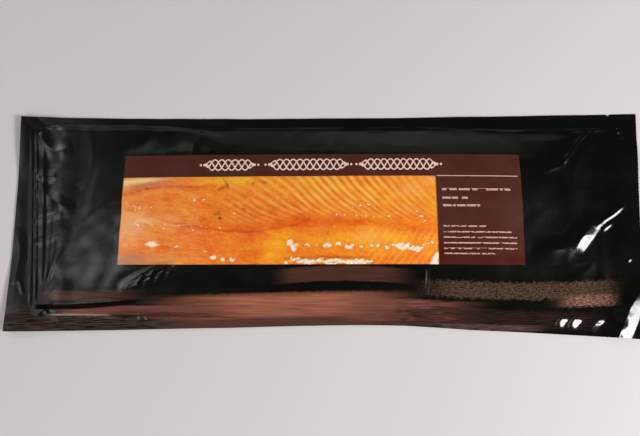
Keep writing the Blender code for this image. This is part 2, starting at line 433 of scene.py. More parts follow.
def underside(x, y):
    """Height of the back web: flat under the card, lifting a little towards the free edges."""
    past_end = np.maximum(CARD_X[0] - x, x - CARD_X[1])
    past_side = np.maximum(CARD_Y[0] - y, y - CARD_Y[1])
    beyond = np.maximum(np.maximum(past_end, past_side), 0.0)
    lift = EDGE_WAVE_LIFT * (1.0 - pulse(EDGE_WAVES * along(x))) * ease(beyond, *FREE_EDGE)
    tail_band = mix(*TAIL_BAND_SHARES, ease(y, -0.080, -0.050))
    tail_band *= within(x, -0.330, -0.300, 0.012)
    flange = np.maximum(sealed_share(x, y, 1.0), within(x, 0.270, 0.320, 0.010))
    flange = np.maximum(flange, tail_band)
    lift += FLANGE_LIFT * flange * (1.0 + grain(x, y, 44, 22, 29, 60))
    for corner_x in (-HALF_LENGTH, HALF_LENGTH):
        for corner_y in (near_edge(corner_x), far_edge(corner_x)):
            away = np.hypot(x - corner_x, y - corner_y)
            lift += CORNER_LIFT * ease(away, CORNER_REACH, 0.0) * ease(beyond, *CORNER_EDGE)
    at_notch = within(x, 0.262, 0.320, 0.040) * within(y, 0.088, 0.120, 0.030)
    return lift * (1.0 - NOTCH_STIFFNESS * at_notch)


# The larger creases pressed into the film: the places that each passes, its height, the reach
# of its left and right flanks, how sharp it is and how its ends taper.
CREASES = (
    # head end: from the fish's end to the tear notch side
    (((240, -27), (248, -15), (255, -6), (262, 1), (266, 5)), 2.8, 15, 9.3, 1, 0.8),
    (((262, -5), (272, 3), (281, 9), (293, 19)), 1.1, 6, 2.8, 1),
    (((268, -8), (274, -3), (280, 1)), 0.9, 2.6, 2.8, 1),
    # head end: from the far corner to the fish's shoulder
    (((261, 92), (254, 86), (247, 80), (243, 75)), 1.2, 2.2, 2.8, 1),
    (((249, 80), (243, 72), (238, 66), (232, 59)), 1.6, 2.6, 3.6, 1),
    (((240, 65), (232, 58), (222, 53), (208, 47)), 0.7, 5, 8, 1.6),
    # head end: where the film dips beside the fish's near corner
    (((198, -26), (214, -27), (228, -26), (243, -22)), 2, 14, 15, 1, 1.5),
    (((188, 82), (210, 81), (232, 83), (250, 88)), 1.6, 8, 15, 1, 1),
    # near corner at the head end
    (((308, -58), (298, -71), (288.5, -85), (277, -110), (272, -122)), 4.2, 14, 13, 1.1, 0.5),
    (((219, -99), (227.5, -88.5)), 2.3, 1, 7.6, 1, 0.35),
    (((231, -100), (239.5, -89)), 2.6, 1, 8.6, 1, 0.35),
    (((250, -104), (258, -96), (267, -88)), 2, 6, 6.5, 1.1),
    # far corner at the head end
    (((285.6, 94.2), (289.4, 97)), 1, 1.5, 2.1, 1),
    (((287.2, 89.6), (291, 92.4)), 1, 1.5, 2.1, 1),
    (((290.4, 84.8), (294.2, 87.6)), 1, 1.5, 2.1, 1),
    (((291, -38), (296, -34)), 0.8, 1.5, 2, 1),
    # far side, where the film folds over at the seal
    (((38, 92.4), (50, 91.6), (64, 92.6)), 0.45, 1.3, 1.3, 1),
    # belly side, below the window's head end
    (((98, -40), (97.5, -56), (97, -74)), 1, 2.6, 2.4),
    # tail end: the crinkled shoulder of the fish
    (((-198, -65), (-183, -57), (-168, -50), (-154, -43), (-134, -36)), 2.3, 9, 4.6, 1.9, 0.5),
    (((-188, -66), (-179, -57), (-175, -50)), 0.7, 3, 3, 1.2),
    (((-176, -62), (-168, -53), (-165, -46)), 0.7, 3, 2.6, 1.2),
    (((-165, -58), (-157, -49), (-152, -43)), 0.6, 2.6, 2.6, 1.2),
    (((-154, -53), (-147, -45), (-142, -39)), 0.6, 2.6, 2.6, 1.2),
    # tail end: where the tuck gathers at the corner, and the fold below it
    (((-272, -79), (-269, -85), (-265, -91)), 0.8, 2.2, 2.6, 1),
    (((-261, -88), (-257, -93), (-253, -98)), 0.8, 2.8, 2.8, 1.1),
    (((-179, -89), (-177, -94)), 0.7, 1.6, 1.6, 1),
    (((-173, -90), (-170, -94)), 0.7, 1.6, 1.6, 1),
    (((-268, -89), (-242, -88), (-214, -90), (-184, -91)), 0.9, 3.5, 2.4, 1.2),
    # tail end: the card's edge, just felt through the film
    (((-264.5, 30), (-266, -20), (-268, -72)), 0.28, 1.9, 1.9, 1),
    # tail end: the ledge beside the seal ribs
    (((-281, 102), (-277, 50), (-275, -10), (-273, -84)), 0.9, 3, 7, 1.2),
    # tail end: soft dents that run in from the sealing bar
    (((-283, 90), (-273, 76), (-262, 71), (-250, 76)), 2.6, 13, 13, 1.8),
    (((-286, 52), (-277, 46), (-264, 46)), 1.7, 8, 8, 1.8),
    (((-284, 38), (-268, 25), (-257, 17), (-245, 13)), 1.9, 9, 11, 1.4),
    (((-285, 2), (-272, 6), (-256, 9)), 1.2, 6, 6, 1.6),
    (((-283, -20), (-272, -17), (-260, -12)), 1, 6, 6, 1.6),
    (((-254, -24), (-262, -36), (-272, -66)), 0.9, 5, 5, 1.6),
    (((-301, -4), (-297, -30), (-301, -60)), 0.9, 9, 6, 1.5),
    (((-295, -55), (-293, -62), (-291, -69)), 1, 1.6, 2.6, 1),
    # tail end: soft fold from the far seal down over the card
    (((-236, 97), (-230, 74), (-231, 54), (-243, 36)), 0.7, 16, 13, 2.2),
)


def sealed_share(x, y, fade=0.3):
    """1 in the sealed bands along the long edges, 0 inside them."""
    from_near = (y - near_edge(x)) / NEAR_SEAL
    from_far = (far_edge(x) - y) / far_seal(x)
    return 1.0 - ease((np.minimum(from_near, from_far) - 1.0) / fade + 0.5)


def seal_ribs(x, y):
    """The ribs that the vacuum machine's sealing bar pressed across the tail end."""
    share = (y - near_edge(x)) / (far_edge(x) - near_edge(x))
    aside = x - mix(SEAL_LINE_NEAR_X, SEAL_LINE_FAR_X, share)
    height = mix(SEAL_RIB_HEIGHT, SEAL_RIB_NEAR_HEIGHT, ease(share, 0.24, 0.14))
    height *= ease(share, 0.10, 0.17) * ease(share, 0.98, 0.86)
    return height * sum(
        ridge(aside - side * SEAL_RIB_PITCH, SEAL_RIB_HALF_WIDTH) for side in (-0.5, 0.5)
    )


def seal_beads(x, y):
    """The low beads where the film leaves the long seals."""
    far_bead = FAR_BEAD_HEIGHT * ridge(far_edge(x) - far_seal(x) - y, FAR_BEAD_REACH)
    far_bead *= within(x, -0.262, 0.268, 0.012) * (1.0 - 0.85 * within(x, -0.130, 0.130, 0.030))
    near_bead = NEAR_BEAD_HEIGHT * ridge(y - near_edge(x) - NEAR_SEAL, NEAR_BEAD_REACH)
    return far_bead + near_bead * within(x, -0.262, 0.190, 0.020)


def crumples(x, y):
    """Finer folds where the vacuum left the film loose: wildest at the tail, faint elsewhere."""
    sealed = sealed_share(x, y)
    behind_tail = within(x, -0.277, -0.258, 0.018) * (1.0 - sealed)
    beyond_head = within(x, 0.240, 0.262, 0.016) * (1.0 - sealed)
    far_side = within(y, 0.070, 0.090, 0.022) * within(x, -0.190, 0.170, 0.060) * (1.0 - sealed)
    near_side = within(y, -0.097, -0.079, 0.006) * within(x, -0.262, 0.190, 0.020) * (1.0 - sealed)
    near_band = sealed * within(y, -0.120, -0.080, 0.004) * within(x, -0.31, -0.16, 0.04)
    head_band = within(x, 0.205, 0.285, 0.010) * within(y, -0.112, -0.084, 0.004)
    wild = grain(x, y, 44, 26, 3, 64) + 0.5 * folds(x, y, 40, 24, 7, -28, 1.0)
    rise_mm = 1.2 * behind_tail * wild
    rise_mm += 0.6 * beyond_head * folds(x, y, 34, 18, 11, 55)
    rise_mm += 1.4 * far_side * folds(x, y, 60, 38, 17, 58, 1.0)
    rise_mm += 0.4 * near_side * folds(x, y, 60, 8, 23, 2)
    rise_mm += 0.28 * near_band * folds(x, y, 34, 5, 31, 3)
    rise_mm += 0.30 * head_band * grain(x, y, 9, 6, 35, 30)
    return rise_mm * MM


def drape(x, y):
    """Slow waves of the film over the flat card and the fish's skin."""
    inside = 1.0 - np.maximum(sealed_share(x, y), within(x, 0.270, 0.320, 0.010))
    fine_mm = 0.12 + 0.20 * within(x, -0.262, -0.205, 0.020) * within(y, -0.066, 0.015, 0.015)
    rise_mm = 0.42 * grain(x, y, 52, 38, 41, 20) + fine_mm * grain(x, y, 17, 12, 43, 35)
    return inside * rise_mm * MM


def flesh_relief(x, y):
    """Low relief of the muscle segments, which the clinging film follows."""
    return SEGMENT_RELIEF * (1.0 - 2.0 * segment_seams(x, y))


def film_height(x, y):
    """Height of the front web's outer face, which stays above the back web."""
    rise = card_rise(x, y) + fish_rise(x, y)
    rise += seal_ribs(x, y) + seal_beads(x, y) + crumples(x, y) + drape(x, y)
    for shape in CREASES:
        rise += crease(x, y, *shape)
    rise += flesh_relief(x, y) * in_window(x, y) + SLACK
    kept_up = 0.5 * (rise + np.hypot(rise, SLACK))
    return underside(x, y) + WEB_THICKNESS + kept_up


def in_window(x, y):
    """1 over the window, falling to 0 a little outside it."""
    return within(x, *WINDOW_X, 0.006) * within(y, *WINDOW_Y, 0.004)


# ---- the fish's flesh

SEGMENT_RELIEF = 0.00010
SEGMENT_STEP_MM = 8.5
SEGMENT_LEANS = (0.135, 0.075)
SEGMENT_LEAN_X = (-0.120, -0.040)
SEGMENT_HOOK = 3.9
SEGMENT_HOOK_MM = 17.0
SEGMENT_WANDER = 0.20
BELLY_SEGMENT_STEP_MM = 7.0
BELLY_SEGMENT_LEAN = 0.75
BELLY_SEAM_STRENGTH = 0.32


def segment_seams(x, y):
    """The fat seams between muscle segments: slanting bands above and below the lateral line."""
    above = (y - lateral_y(x)) / MM
    up = np.clip(above, 0.0, None)
    lean = mix(*SEGMENT_LEANS, ease(x, *SEGMENT_LEAN_X))
    hook = SEGMENT_HOOK * np.exp(-up / SEGMENT_HOOK_MM)
    phase = lean * up - hook + x / MM / SEGMENT_STEP_MM
    phase += SEGMENT_WANDER * grain(x, y, 30, 22, 61)
    width = within(above, 12.0, 60.0, 9.0) * within(x, -0.080, 0.112, 0.040)
    strong = 0.40 + patches(x, y, ((15, 34, 62, 24, 0, 0.75),))
    uneven = np.clip(0.80 + 0.7 * grain(x, y, 16, 7, 65, -48), 0.1, 1.2)
    upper = ease(pulse(phase), 0.12, 0.92) * width * strong * uneven
    below = (x / MM - BELLY_SEGMENT_LEAN * above) / BELLY_SEGMENT_STEP_MM
    below += SEGMENT_WANDER * grain(x, y, 20, 14, 63)
    low_width = within(above, -34.0, -6.0, 6.0) * within(x, 0.046, 0.110, 0.022)
    lower = BELLY_SEAM_STRENGTH * ease(pulse(below), 0.5, 1.0) * low_width
    return np.clip(upper + lower, 0.0, 1.0)


STREAK_WANDER = 0.0007


def streak_line(x, y, points, half_width_mm):
    """A thin wandering line, 1 along its middle."""
    wander = STREAK_WANDER * grain(x, y, 7, 7, 91)
    aside, share = beside_line(x, y + wander, points)
    return np.sin(math.pi * share) ** 0.4 * np.exp(-((aside / (half_width_mm * MM)) ** 2))


# Thin lines on the flesh: the edge left by the trimmed skin, the dark lateral line, and lines of
# cream fat with their half width in mm and their strength.
SKIN_EDGE = ((-206, 26), (-190, 29), (-170, 33), (-150, 34.5), (-128, 33), (-104, 36))
DARK_LINE = ((-160, 1), (-140, -3), (-120, -6), (-95, -9), (-68, -10), (-44, -6), (-22, -2))
CREAM_LINES = (
    (((-186, 0), (-180, 1), (-174, 1), (-166, -5)), 1.3, 0.6),
    (((-158, -2), (-144, -4), (-129, -3)), 0.8, 0.4),
)

# Soft patches of the flesh's fields: the x and y of each centre, half sizes, turn and strength.
# Those of its tone make it yellower, or redder where they take away.
TONE_PATCHES = (
    (40, 36, 90, 16, 0, 0.34), (-96, 40, 32, 6, 0, 0.34), (-52, -30, 13, 15, 0, 0.40),
    (45, -16, 62, 11, 0, 0.34), (-48, 4, 46, 15, 0, -0.26), (84, -8, 16, 5, 0, -0.34),
    (20, -1, 50, 4, 0, -0.18), (-120, -20, 50, 12, 0, -0.10), (-40, -8, 18, 9, 0, 0.22),
    (44, 38, 46, 9, 0, -0.32), (-97, -6, 14, 8, 0, 0.14), (-66, -33, 8, 8, 0, -0.30),
    (106, 9, 9, 8, 0, 0.22), (4, 10, 14, 6, 0, 0.16), (16, -7, 24, 7, 0, -0.12),
    (106, -8, 9, 6, 0, -0.14),
)
SEGMENT_PATCH = ((15, 34, 70, 24, 0, -0.30),)
PALE_PATCHES = (
    (-187, -6, 15, 11, 0, 0.75), (-176, 3, 20, 3, -18, 0.55), (-199, -3, 8, 9, 0, 0.30),
    (-160, 2, 24, 3, 0, 0.45), (-150, -36, 30, 4, 0, 0.30), (80, 30, 11, 6, 0, 0.45),
    (101, 40, 8, 5, 0, 0.55), (42, -14, 13, 6, 0, 0.40),
)
CREAM_PATCHES = ((-182, 40.5, 22, 2.6, 3, 1.1), (-196, 36, 6, 4, 0, 0.6))
# Grey-pink skin along the top left; the patch at the near left corner is painted shade with a painted
# reflection of the film.
SKIN_AND_SHADE_PATCHES = ((-172, 36.8, 22, 1.8, 9, 1.0), (-198, -37.5, 32, 6.5, 3, 1.0))
# Smoke and blood.
STAINS = (
    (-102, 3, 1.6, 1.3, 0, 1.2), (-104, 8, 4.5, 3.0, 20, 0.55), (-87, 15, 2.2, 2.0, 0, 0.35),
    (-79, 12, 2.6, 1.5, 10, 0.40), (-97, 38, 1.0, 5.0, 30, 0.70), (-100, 33, 5.0, 1.1, 30, 0.75),
    (-96, 33.5, 2.4, 2.0, 0, 0.45), (-70, 37, 2.6, 1.3, 40, 0.45), (-60, 38, 3.2, 1.4, -25, 0.45),
    (1, -13, 0.9, 0.9, 0, 0.9), (-174, 33, 1.6, 0.9, 0, 0.8), (-62, -22, 0.9, 1.2, 0, 0.6),
    (-30, -35.4, 12, 1.1, 2, 0.6), (12, -34.6, 22, 1.2, -1, 0.7), (-118, 2, 1.0, 0.8, 0, 0.6),
    (44, 12, 0.8, 0.8, 0, 0.6), (-140, 35, 7, 2.4, 0, 0.22),
)


def flesh_fields(x, y):
    """What the flesh's material reads: each is a share between 0 and 1."""
    above = (y - lateral_y(x)) / MM
    seams = segment_seams(x, y)
    ragged = 0.5 * grain(x, y, 16, 8, 71, -10) + 0.35 * grain(x, y, 7, 4.2, 73, -14)
    wisps = folds(x, y, 18, 3.2, 83, -6, 3.0)
    edge = streak_line(x, y, SKIN_EDGE, 2.2)
    line = streak_line(x, y, DARK_LINE, 1.3)
    fine = grain(x, y, 3.6, 1.9, 75, -20) + 0.7 * grain(x, y, 1.7, 1.2, 93, 30)
    fine *= mix(1.0, 0.5, within(x, 0.0, 0.120, 0.050) * ease(above, 0.0, 12.0))

    # deep red-orange at 0, orange at the middle, yellow at 1
    tone = 0.47 + 0.34 * ragged + 0.16 * fine + 0.10 * wisps
    tone += patches(x, y, SEGMENT_PATCH) * (0.45 - seams) + patches(x, y, TONE_PATCHES)
    tone = tone - 0.62 * edge * (0.7 + 0.5 * ragged) - 0.40 * line * (0.8 + 0.6 * fine)
    tone -= 0.16 * np.exp(-((above / 6.0) ** 2)) * within(x, -0.130, -0.020, 0.020)

    pale = 0.50 * ease(x, -0.162, -0.212) * (0.60 + 0.8 * ragged) * ease(y, 0.027, 0.023)
    pale *= 1.0 - 0.6 * within(y, -0.060, -0.030, 0.010)
    pale += patches(x, y, PALE_PATCHES) + 0.35 * wisps * within(x, -0.21, -0.13, 0.02)
    cream = patches(x, y, CREAM_PATCHES)
    for points, half_width_mm, strength in CREAM_LINES:
        cream += strength * streak_line(x, y, points, half_width_mm)
    stain = patches(x, y, STAINS) * (0.85 + 0.6 * grain(x, y, 2.6, 1.8, 77))
    fields = {"seam": seams, "tone": tone, "pale": pale, "cream": cream}
    fields.update(skin=patches(x, y, SKIN_AND_SHADE_PATCHES), stain=stain)
    # the skin field is skin at the top left, and painted shade with a painted reflection at the near
    # left corner
    return {name: np.clip(values, 0.0, 1.0) for name, values in fields.items()}


# Single pieces of fat: centre, length, width and turn. The small white lumps about (-184, 14) are
# painted glints, made as fat.
FAT_AND_GLINT_PIECES = (
    ((-127, 21), 4.5, 3, 0), ((-118.5, 21), 4, 2.6, 10), ((-184, 15), 3, 2.4, 20),
    ((-180.5, 13.5), 3.6, 2.6, 60), ((-184, 12), 2.4, 1.8, -40), ((-187, 16), 2, 1.4, 80),
    ((-177, 9), 2.8, 1.9, 0), ((-169, 14), 2.4, 1.6, 30), ((-193, 18), 1.8, 1.3, 0),
    ((-191, 11), 1.6, 1.4, 0),
    ((-168, -21.5), 17, 7, -4), ((-144, -24), 6.5, 2.6, 25), ((-116, -29), 4.5, 2.6, -10),
    ((-108.5, -34), 8, 5.5, 0), ((-99.5, -36), 6, 4, -10), ((-90, -36.5), 7.5, 4.5, 5),
    ((-34.5, -20.5), 8.5, 8, 0), ((-31.5, -25.5), 10, 7, -62), ((-28, -22.5), 6, 4.5, 0),
    ((-38.5, -40), 4.6, 4.2, 0), ((-34, -36), 6, 2, 50), ((104.5, -36), 20, 8.5, 60),
    ((105, -41), 12, 8, 10),
    ((-190, 1), 6, 2, 20), ((-182, -3), 9, 2.4, -35), ((-156, -7), 3, 1.4, 0),
    ((-88, 8), 4, 1.6, 20), ((-128, -9), 2.2, 1.4, 0), ((38, 5), 2.2, 1.6, 0),
)

# Rows of fat: first and last place, how many, the length of one, how unlike they are and the
# most that they are wide. The fine lumps along the lateral line, from x -160 to -96, are fat and
# painted glints both.
FAT_AND_GLINT_ROWS = (
    ((-20, -21.5), (60, -24.5), 11, 6.4, 0.40, 4.6),
    ((64, -24), (92, -26), 16, 7, 0.40, 4.6),
    ((68, -22), (90, -29), 9, 4.6, 0.40, 3.4),
    ((-32, -38), (44, -39.2), 22, 10, 0.35, 3.8),
    ((-22, -39.6), (36, -40.2), 12, 9, 0.40, 3.4),
    ((92, -23), (102, -20), 4, 3.4, 0.40, 3),
    ((-160, -2), (-96, -8), 9, 1.8, 0.45, 1.4),
    ((8, 6), (60, 4), 8, 1.9, 0.50, 1.5),
    ((12, 12), (46, 16), 4, 2.2, 0.30, 1.5),
    ((84, 12), (96, -2), 4, 2.8, 0.40, 1.8),
)
FAT_THICKNESS = 0.0011
FAT_PROUD = 0.00030
FAT_UNEVENNESS = 0.0046
FAT_BUMP_SIZE = 0.0026
# How far the pieces of a row stray along it, in steps, and beside it, in widths, how slim they
# are and how far they turn.
FAT_STRAY_ALONG = 0.25
FAT_STRAY_ASIDE = 0.22
FAT_SLIMNESS = (0.45, 0.8)
FAT_TURN = 0.4


def fat_and_glint_places():
    """Centre, size and turn of every lump in the window: pieces of fat, a few of them painted glints.
    """
    chance = np.random.default_rng(5)
    places = []
    for centre, long, wide, turn in FAT_AND_GLINT_PIECES:
        places.append((*centre, long, wide, math.radians(turn)))
    for first, last, count, size, unlike, widest in FAT_AND_GLINT_ROWS:
        for i in range(count):
            share = (i + 0.5 + FAT_STRAY_ALONG * chance.standard_normal()) / count
            x = mix(first[0], last[0], share)
            y = mix(first[1], last[1], share)
            y += FAT_STRAY_ASIDE * widest * chance.standard_normal()
            long = size * (1.0 + unlike * chance.uniform(-1.0, 1.0))
            wide = min(long * chance.uniform(*FAT_SLIMNESS), widest)
            places.append((x, y, long, wide, chance.uniform(-FAT_TURN, FAT_TURN)))
    return np.array(places)


# ---- meshes


def new_object(name, points, faces, smooth=True):
    """A mesh of points and faces, linked to the scene."""
    mesh = bpy.data.meshes.new(name)
    mesh.from_pydata(np.asarray(points).tolist(), [], faces)
    mesh.validate()
    if smooth:
        mesh.shade_smooth()
    piece = bpy.data.objects.new(name, mesh)
    bpy.context.scene.collection.objects.link(piece)
    return piece


def make_crisp(piece, first, last):
    """Marks the edges of a run of faces as sharp, so that the faces beside them shade level."""
    mesh = piece.data
    for face in mesh.polygons[first:last]:
        for loop in face.loop_indices:
            mesh.edges[mesh.loops[loop].edge_index].use_edge_sharp = True


def add_field(piece, name, values):
    """Stores one value for each point, for the material to read."""
    attribute = piece.data.attributes.new(name, "FLOAT", "POINT")
    attribute.data.foreach_set("value", np.asarray(values, np.float32).reshape(-1))


def spread(first, last, step):
    """Even places from the first up to the last, which is left out."""
    count = max(1, math.ceil((last - first) / step - 1e-9))
    return [mix(first, last, i / count) for i in range(count)]


def as_points(x, y, z):
    """x, y and z of each place of a grid, one row for a point."""
    return np.stack((x, y, z), axis=-1).reshape(-1, 3)


def numbering(rows):
    """Numbers the points of a grid, column after column."""
    return lambda i, j: i * rows + j


def grid_columns():
    """x of each line across the pouch, with lines on the window's ends and at the notches."""
    notch_x = [NOTCH_X + side * NOTCH_HALF_WIDTH for side in (-1, 0, 1)]
    stops = (-HALF_LENGTH, *WINDOW_X, *notch_x, HALF_LENGTH)
    columns = []
    for first, last in zip(stops, stops[1:]):
        columns += spread(first, last, FILM_CELL)
    return np.array(columns + [HALF_LENGTH])


TAIL_PULL = 0.0040
WINDOW_END_PULL = 0.0022
LABEL_END_PULL = 0.0030
PULL_WAVES = 0.0006


def drawn_aside(x, y):
    """How far the vacuum drew the print and the window sideways, most where the label ends."""
    up = (y - sum(WINDOW_Y) / 2) / (WINDOW_Y[1] - WINDOW_Y[0])
    at_tail = within(x, -0.212, -0.190, 0.060)
    at_window_end = within(x, 0.100, 0.115, 0.055)
    at_label_end = within(x, 0.185, 0.195, 0.035)
    level = within(y, WINDOW_Y[0], LABEL_Y_MM[1] * MM, 0.025)
    waves = PULL_WAVES * grain(x, y, 60, 22, 87)
    pull = TAIL_PULL * at_tail - WINDOW_END_PULL * at_window_end - LABEL_END_PULL * at_label_end
    return level * (pull * up + waves * (at_tail + at_label_end))


def pouch_grid():
    """Places of the front web's points, and the columns and rows that bound the window."""
    columns = grid_columns()
    bands = (
        (near_edge(columns) + notch(columns), WINDOW_Y[0]),
        (WINDOW_Y[0], WINDOW_Y[1]),
        (WINDOW_Y[1], far_edge(columns) - notch(columns)),
    )
    rows = []
    starts = []
    for low, high in bands:
        starts.append(len(rows))
        deepest = float(np.max(np.asarray(high) - np.asarray(low)))
        for share in spread(0.0, 1.0, FILM_CELL / deepest):
            rows.append(mix(low, high, share) + 0.0 * columns)
    rows.append(bands[2][1])
    y = np.array(rows).T
    share = (y - y[:, :1]) / (y[:, -1:] - y[:, :1])
    x = np.repeat(columns[:, None], y.shape[1], axis=1)
    to_tail = share_of(x, TAIL_SKEW_FROM_X, -HALF_LENGTH)
    to_head = share_of(x, HEAD_SKEW_FROM_X, HALF_LENGTH)
    x += to_tail * (TAIL_SKEW * share + TAIL_BOW * np.sin(math.pi * share))
    x -= to_head * HEAD_SKEW * (1.0 - share)
    first, last = (int(np.argmin(np.abs(columns - end))) for end in WINDOW_X)
    return x + drawn_aside(x, y), y, (first, last), (starts[1], starts[2])


def rim_places(first_column, last_column, first_row, last_row):
    """Grid places round a rectangle of the grid, counter-clockwise from above."""
    rim = [(i, first_row) for i in range(first_column, last_column)]
    rim += [(last_column, j) for j in range(first_row, last_row)]
    rim += [(i, last_row) for i in range(last_column, first_column, -1)]
    rim += [(first_column, j) for j in range(last_row, first_row, -1)]
    return rim


def sheet_faces(number, columns, rows, hole=None):
    """Quads of a grid that face up, leaving out a rectangle of it."""
    faces = []
    for i in range(columns - 1):
        for j in range(rows - 1):
            if hole and hole[0] <= i < hole[1] and hole[2] <= j < hole[3]:
                continue
            faces.append((number(i, j), number(i + 1, j), number(i + 1, j + 1), number(i, j + 1)))
    return faces


def underneath(x, y, z_of, step, base, front):
    """A coarser sheet below a grid, and the rim that joins the two, as points and faces."""
    columns, rows = x.shape
    kept_i = sorted(set(range(0, columns, step)) | {columns - 1})
    kept_j = sorted(set(range(0, rows, step)) | {rows - 1})
    low_x = x[np.ix_(kept_i, kept_j)]
    low_y = y[np.ix_(kept_i, kept_j)]
    points = as_points(low_x, low_y, z_of(low_x, low_y))
    number = numbering(len(kept_j))

    def back(a, b):
        return base + number(a, b)

    faces = [face[::-1] for face in sheet_faces(back, len(kept_i), len(kept_j))]
    rim = rim_places(0, columns - 1, 0, rows - 1)
    place_of = {place: n for n, place in enumerate(rim)}
    corner_i = {i: a for a, i in enumerate(kept_i)}
    corner_j = {j: b for b, j in enumerate(kept_j)}
    coarse = [place for place in rim if place[0] in corner_i and place[1] in corner_j]
    for start, stop in zip(coarse, coarse[1:] + coarse[:1]):
        first = place_of[start]
        last = place_of[stop] or len(rim)
        upper = [front(*rim[n % len(rim)]) for n in range(first, last + 1)]
        lower = [back(corner_i[i], corner_j[j]) for i, j in (stop, start)]
        faces.append(tuple(lower + upper))
    return points, faces


UNDERCUT = 0.008
POCKET_FLOOR = 0.0010


def make_pouch_film(grid):
    """The printed pouch: front web with its open window, sealed edge, back web and the space inside.

    One closed skin. From the window's rim it goes down through the film, back under it past the
    flesh, down to the card and across, so that the flesh can run on under the print.
    """
    x, y, (first, last), (low, high) = grid
    columns, rows = x.shape
    size = columns * rows
    z = film_height(x, y)
    front = numbering(rows)
    faces = sheet_faces(front, columns, rows, hole=(first, last, low, high))
    back_points, back_faces = underneath(x, y, underside, BACK_STEP, size, front)
    points = [as_points(x, y, z), back_points]
    edge_start = len(faces)
    faces += back_faces
    inner = len(faces)

    rim = rim_places(first, last, low, high)
    rim_x, rim_y, rim_z = (np.array([values[p] for p in rim]) for values in (x, y, z))
    under_x = rim_x + UNDERCUT * np.array([(i == last) * 1.0 - (i == first) for i, j in rim])
    under_y = rim_y + UNDERCUT * np.array([(j == high) * 1.0 - (j == low) for i, j in rim])
    under_z = film_height(under_x, under_y) - FILM_THICKNESS
    count = size + len(back_points)
    upper = [front(*p) for p in rim]
    for ring in (
        (rim_x, rim_y, rim_z - FILM_THICKNESS),
        (under_x, under_y, under_z),
        (under_x, under_y, np.full(len(rim), POCKET_FLOOR)),
    ):
        points.append(as_points(*ring))
        lower = list(range(count, count + len(rim)))
        count += len(rim)
        for n in range(len(rim)):
            m = (n + 1) % len(rim)
            faces.append((upper[m], upper[n], lower[n], lower[m]))
        upper = lower
    faces.append(tuple(lower))
    spots = np.vstack(points)
    piece = new_object("printed_pouch", spots, faces)
    for face in piece.data.polygons[inner:]:
        face.material_index = 1
    make_crisp(piece, inner, len(faces))
    outer = [n for n in range(edge_start, inner) if len(faces[n]) > 4]
    make_crisp(piece, outer[0], outer[-1] + 1)
    print_x = spots[:, 0].copy()
    print_x[:size] = (x - drawn_aside(x, y)).reshape(-1)
    add_field(piece, "printed", np.arange(len(spots)) < size)
    add_field(piece, "print_x", print_x / MM)
    add_field(piece, "print_y", spots[:, 1] / MM)
    return piece


def make_clear_film(grid):
    """The unprinted part of the front web over the fish, a thin closed sheet."""
    x, y, (first, last), (low, high) = grid
    part_x = x[first : last + 1, low : high + 1]
    part_y = y[first : last + 1, low : high + 1]
    top = film_height(part_x, part_y)
    part_x = mix(part_x, sum(WINDOW_X) / 2, 2 * CLEAR_INSET / (WINDOW_X[1] - WINDOW_X[0]))
    part_y = mix(part_y, sum(WINDOW_Y) / 2, 2 * CLEAR_INSET / (WINDOW_Y[1] - WINDOW_Y[0]))
    columns, rows = part_x.shape
    size = columns * rows
    front = numbering(rows)
    upper = as_points(part_x, part_y, top)
    lower = upper - (0.0, 0.0, CLEAR_THICKNESS)
    faces = sheet_faces(front, columns, rows)
    faces += [tuple(size + n for n in face[::-1]) for face in faces]
    rim = [front(*p) for p in rim_places(0, columns - 1, 0, rows - 1)]
    for a, b in zip(rim, rim[1:] + rim[:1]):
        faces.append((a, size + a, size + b, b))
    piece = new_object("clear_window_film", np.vstack((upper, lower)), faces)
    make_crisp(piece, len(faces) - len(rim), len(faces))
    return piece


FLESH_MARGIN = 0.0068
FLESH_CLEARANCE = 0.00042
FLESH_BOTTOM = 0.0013
FLESH_GRAIN = 0.00004


def flesh_height(x, y):
    """Height of the flesh's upper face, just clear of the film."""
    return film_height(x, y) - FILM_THICKNESS - FLESH_CLEARANCE


def flesh_floor(x, y):
    """Height of its lower face, just above the pocket's floor."""
    return np.full(x.shape, FLESH_BOTTOM)


def make_flesh():
    """The cut face of the fish where it shows, running on a little way under the print."""
    lines = []
    for low, high in (WINDOW_X, WINDOW_Y):
        low, high = low - FLESH_MARGIN, high + FLESH_MARGIN
        lines.append(spread(low, high, FLESH_CELL) + [high])
    x, y = np.meshgrid(*lines, indexing="ij")
    columns, rows = x.shape
    front = numbering(rows)
    upper = as_points(x, y, flesh_height(x, y) + FLESH_GRAIN * grain(x, y, 3.0, 1.4, 79, -15))
    lower, more = underneath(x, y, flesh_floor, FLESH_STEP, len(upper), front)
    faces = sheet_faces(front, columns, rows) + more
    piece = new_object("salmon_side", np.vstack((upper, lower)), faces)
    for name, values in flesh_fields(x, y).items():
        add_field(piece, name, np.concatenate((values.reshape(-1), np.zeros(len(lower)))))
    return piece


# ---- nodes


def srgb(code):
    """Linear colour of an sRGB hex value."""
    parts = [int(code[i : i + 2], 16) / 255 for i in (1, 3, 5)]
    linear = [p / 12.92 if p <= 0.04045 else ((p + 0.055) / 1.055) ** 2.4 for p in parts]
    return (*linear, 1.0)


def node(tree, kind, *values, **settings):
    """Adds a node with its settings, such as the operation that follows its kind.

    The values go to its inputs in order, or where a dictionary says. Each is a plain value, an
    output or another node, whose first output is meant.
    """
    kind, _, operation = kind.partition(" ")
    made = tree.nodes.new(kind if "Node" in kind else "ShaderNode" + kind)
    if operation:
        made.operation = operation
    for name, value in settings.items():
        setattr(made, name, value)
    named = len(values) == 1 and isinstance(values[0], dict)
    inputs = values[0] if named else dict(enumerate(values))
    for key, value in inputs.items():
        if isinstance(value, bpy.types.Node):
            value = next(output for output in value.outputs if output.enabled)
        if isinstance(value, bpy.types.NodeSocket):
            tree.links.new(value, made.inputs[key])
        else:
            made.inputs[key].default_value = value
    return made


# ---- fat


